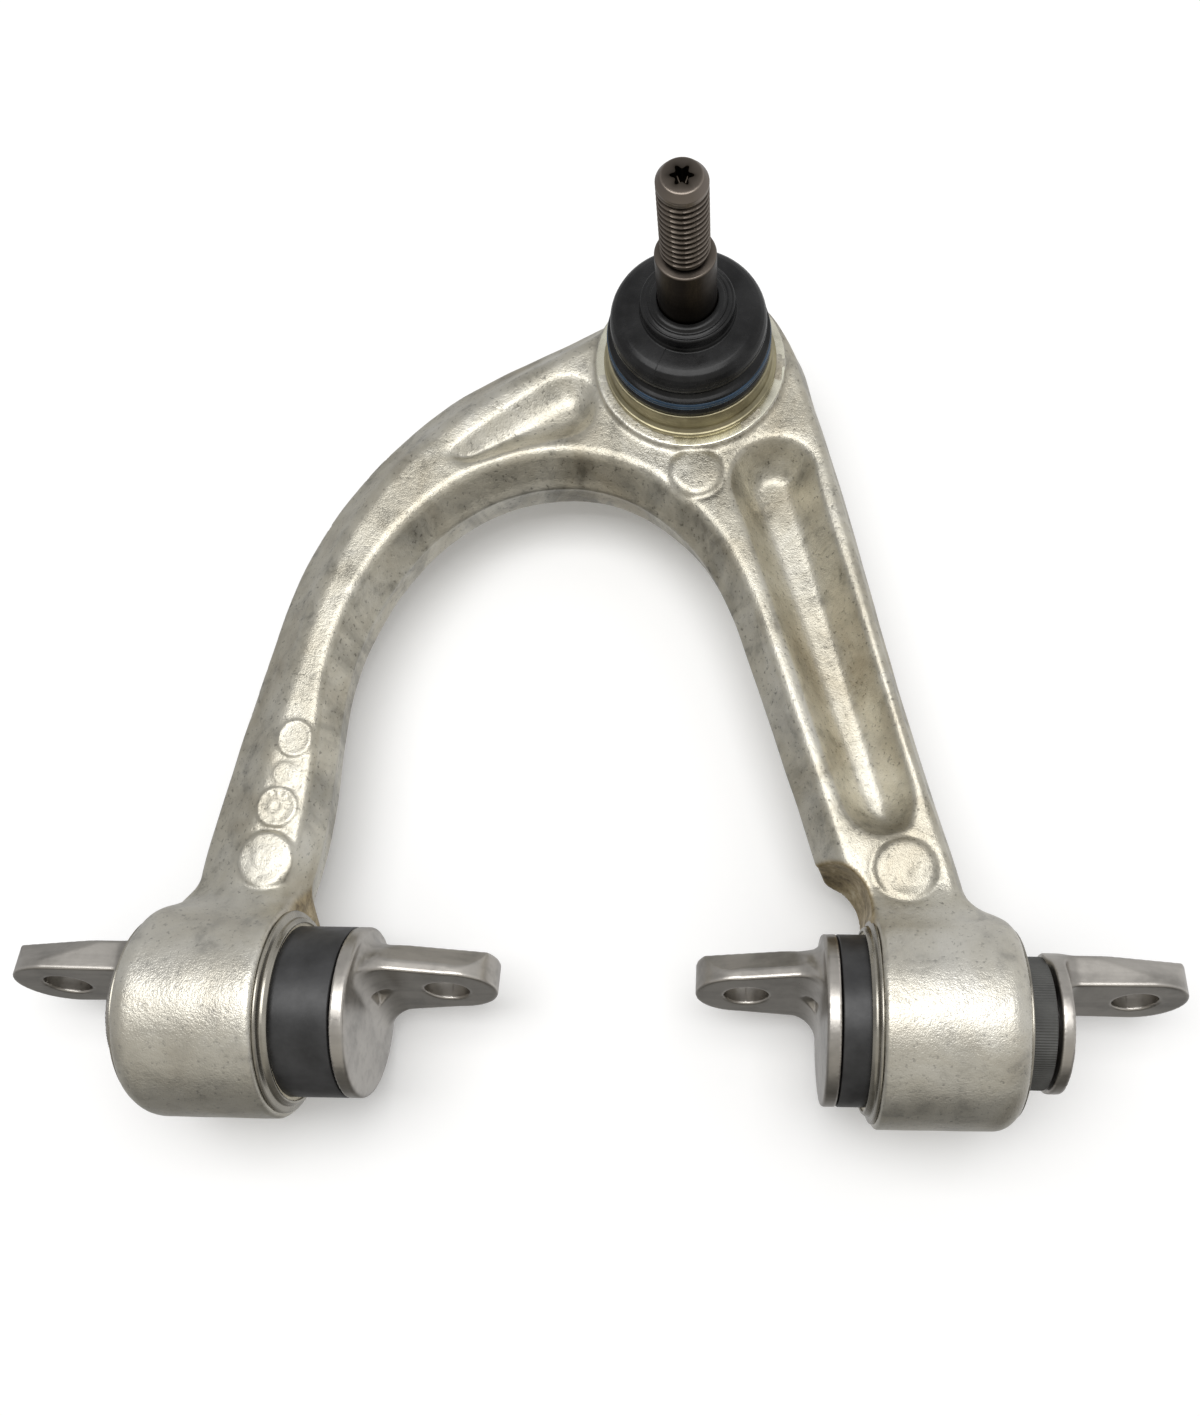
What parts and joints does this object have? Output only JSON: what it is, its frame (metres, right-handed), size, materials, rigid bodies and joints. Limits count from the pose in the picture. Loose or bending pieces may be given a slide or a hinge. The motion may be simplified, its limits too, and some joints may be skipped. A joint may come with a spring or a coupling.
{
  "type": "suspension control arm",
  "caption": "Forged A-shaped suspension control arm with a ball joint at its tip and two sliding, turning bar-pin bushes that bolt to a vehicle body.",
  "frame": {"origin": "on the pivot axis of the two bushes, midway between the two bush housings", "axes": "+X along the pivot axis, +Y from the pivot axis towards the ball joint, +Z the way the ball stud points"},
  "size_m": [0.289, 0.2289, 0.0961],
  "materials": {
    "forged_aluminium": "shot-blasted forging, satin and finely speckled",
    "plated_steel": "olive-gold plating",
    "bright_steel": "machined and zinc plated",
    "dark_steel": "dark phosphated steel",
    "grey_steel": "plain steel",
    "black_polymer": "satin black moulded polymer",
    "bearing_polymer": "natural acetal",
    "boot_rubber": "soft black rubber",
    "blue_ring": "blue coated ring"
  },
  "bodies": {
    "arm": {"arm_forging": "forged_aluminium", "ball_housing": "plated_steel", "ball_seat": "bearing_polymer", "pressure_plate": "grey_steel", "bottom_cover": "plated_steel", "snap_ring": "dark_steel", "boot": "boot_rubber", "boot_clip_ring": "blue_ring", "outer_sleeve_l": "bright_steel", "slide_liner_l": "bearing_polymer", "guide_ring_l": "black_polymer", "outer_sleeve_r": "bright_steel", "slide_liner_r": "bearing_polymer", "guide_ring_r": "black_polymer"},
    "bush_l": {"slide_drum_l": "black_polymer", "core_tube_l": "grey_steel"},
    "pin_l": {"bar_pin_l": "bright_steel"},
    "bush_r": {"slide_drum_r": "black_polymer", "core_tube_r": "grey_steel"},
    "pin_r": {"bar_pin_r": "bright_steel"},
    "ball_cradle": {"ball_liner": "bearing_polymer"},
    "stud_carrier": {"boot_top_ring": "dark_steel"},
    "stud": {"ball_stud": "dark_steel"}
  },
  "joints": [
    {"name": "left_bush_slide", "type": "slide", "parent": "arm", "child": "bush_l", "axis": [1, 0, 0], "range_m": [-0.0132, 0.0003]},
    {"name": "left_pin_turn", "type": "hinge", "parent": "bush_l", "child": "pin_l", "pos_m": [-0.081, 0, 0], "axis": [1, 0, 0], "range_deg": [-20, 20]},
    {"name": "right_bush_slide", "type": "slide", "parent": "arm", "child": "bush_r", "axis": [1, 0, 0], "range_m": [-0.0072, 0.0062]},
    {"name": "right_pin_turn", "type": "hinge", "parent": "bush_r", "child": "pin_r", "pos_m": [0.088, 0, 0], "axis": [1, 0, 0], "range_deg": [-20, 20]},
    {"name": "ball_tilt_x", "type": "hinge", "parent": "arm", "child": "ball_cradle", "pos_m": [0.0235, 0.175, 0.002], "axis": [1, 0, 0], "range_deg": [-18, 18], "deforming": ["boot"]},
    {"name": "ball_tilt_y", "type": "hinge", "parent": "ball_cradle", "child": "stud_carrier", "pos_m": [0.0235, 0.175, 0.002], "axis": [0, 1, 0], "range_deg": [-18, 18], "deforming": ["boot"]},
    {"name": "stud_spin", "type": "hinge", "parent": "stud_carrier", "child": "stud", "pos_m": [0.0235, 0.175, 0.002], "axis": [0, 0, 1], "continuous": true}
  ]
}
